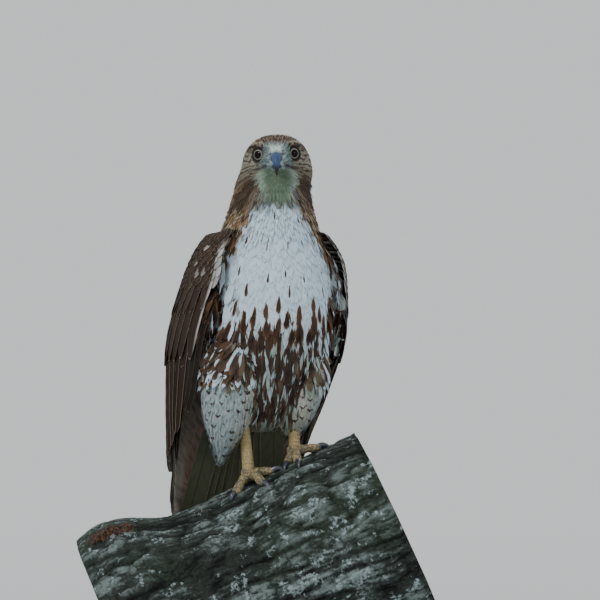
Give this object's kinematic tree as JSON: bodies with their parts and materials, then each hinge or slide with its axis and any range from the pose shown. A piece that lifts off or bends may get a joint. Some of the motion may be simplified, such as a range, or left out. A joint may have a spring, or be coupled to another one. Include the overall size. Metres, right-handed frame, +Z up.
{
  "type": "red-tailed hawk model",
  "caption": "Still, life-size red-tailed hawk gripping a cut length of a thick limb, held up by a flat base and short rods.",
  "frame": {"origin": "centre of the display base's underside", "axes": "+Z up, the limb's length runs along X and rises towards +X, the hawk looks towards -Y"},
  "size_m": [0.482, 0.2995, 0.8496],
  "materials": {
    "stand_wood": "satin black stained wood",
    "rod_steel": "brushed",
    "bark": "rough furrowed bark with pale lichen",
    "body_plumage": "soft white feathers with brown streaks",
    "head_plumage": "short streaked brown feathers",
    "wing_plumage": "dark brown feathers with pale edges",
    "tail_plumage": "brick red above, dull buff below",
    "bill": "blue-grey horn, darker at the hook",
    "eye": "wet and glossy, pale straw iris",
    "leg_skin": "scaly dull yellow skin",
    "talon": "smooth dark horn"
  },
  "bodies": {
    "root": {"stand_base": "stand_wood", "stand_rod_low": "rod_steel", "stand_rod_high": "rod_steel", "perch_limb": "bark", "torso": "body_plumage", "neck": "head_plumage", "head": "head_plumage", "bill_upper": "bill", "bill_lower": "bill", "eye_left": "eye", "eye_right": "eye", "wing_left": "wing_plumage", "wing_right": "wing_plumage", "tail": "tail_plumage", "thigh_left": "body_plumage", "shank_left": "leg_skin", "foot_left": "leg_skin", "talon_left_inner": "talon", "talon_left_middle": "talon", "talon_left_outer": "talon", "talon_left_hind": "talon", "thigh_right": "body_plumage", "shank_right": "leg_skin", "foot_right": "leg_skin", "talon_right_inner": "talon", "talon_right_middle": "talon", "talon_right_outer": "talon", "talon_right_hind": "talon"}
  },
  "joints": []
}
